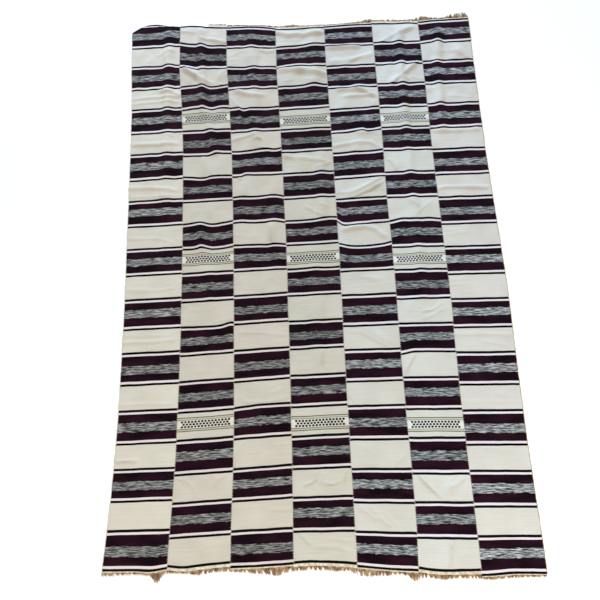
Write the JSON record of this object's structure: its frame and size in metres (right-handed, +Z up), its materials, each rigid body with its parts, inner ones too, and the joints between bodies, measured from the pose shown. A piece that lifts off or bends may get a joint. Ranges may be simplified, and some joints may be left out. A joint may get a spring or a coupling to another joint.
{
  "type": "handwoven cotton blanket",
  "caption": "Strip-woven cotton blanket spread flat: cream and dark striped blocks in a checkerboard, soft lengthwise folds and a short cut fringe at both ends.",
  "frame": {"origin": "middle of the blanket's outline on the surface that it lies on", "axes": "+Z up, +Y along the woven strips to the end with the turned-under corner, +X to the right across the strips"},
  "size_m": [1.428, 2.1856, 0.0145],
  "materials": {
    "woven_cotton": "matt plain-woven cotton, cream with purple-black, black, white and grey marl stripes",
    "raw_warp": "matt raw cotton warp ends, beige"
  },
  "bodies": {
    "root": {"strip_1": "woven_cotton", "strip_2": "woven_cotton", "strip_3": "woven_cotton", "strip_4": "woven_cotton", "strip_5": "woven_cotton", "strip_6": "woven_cotton", "strip_7": "woven_cotton", "fringe_far_2": "raw_warp", "fringe_far_3": "raw_warp", "fringe_far_4": "raw_warp", "fringe_far_5": "raw_warp", "fringe_far_6": "raw_warp", "fringe_far_7": "raw_warp", "fringe_near_1": "raw_warp", "fringe_near_2": "raw_warp", "fringe_near_3": "raw_warp", "fringe_near_4": "raw_warp", "fringe_near_5": "raw_warp", "fringe_near_6": "raw_warp", "fringe_near_7": "raw_warp"}
  },
  "joints": []
}
